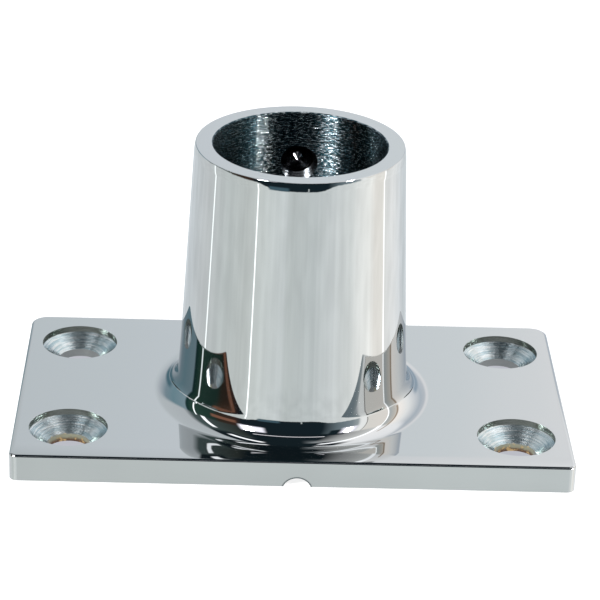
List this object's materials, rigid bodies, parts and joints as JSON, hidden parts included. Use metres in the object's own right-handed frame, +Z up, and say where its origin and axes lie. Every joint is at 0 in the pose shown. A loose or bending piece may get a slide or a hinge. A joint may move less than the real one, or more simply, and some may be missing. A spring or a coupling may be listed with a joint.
{
  "type": "tube clamp base flange",
  "caption": "Rectangular base plate with countersunk screw holes and an upright tapered socket for a round rail tube, clamped by a socket set screw.",
  "frame": {"origin": "centre of the plate's underside, on the socket's axis", "axes": "+X along the plate's long side, +Z up the socket; the set screw is on the +Y side"},
  "size_m": [0.082, 0.047, 0.044],
  "materials": {
    "polished_steel": "mirror polished stainless steel, turned bore",
    "screw_steel": "plain stainless steel"
  },
  "bodies": {
    "base": {"flange": "polished_steel"},
    "clamp_screw": {"set_screw": "screw_steel"}
  },
  "joints": [
    {"name": "screw_travel", "type": "slide", "parent": "base", "child": "clamp_screw", "axis": [0, -1, 0], "range_m": [0, 0.002]}
  ]
}
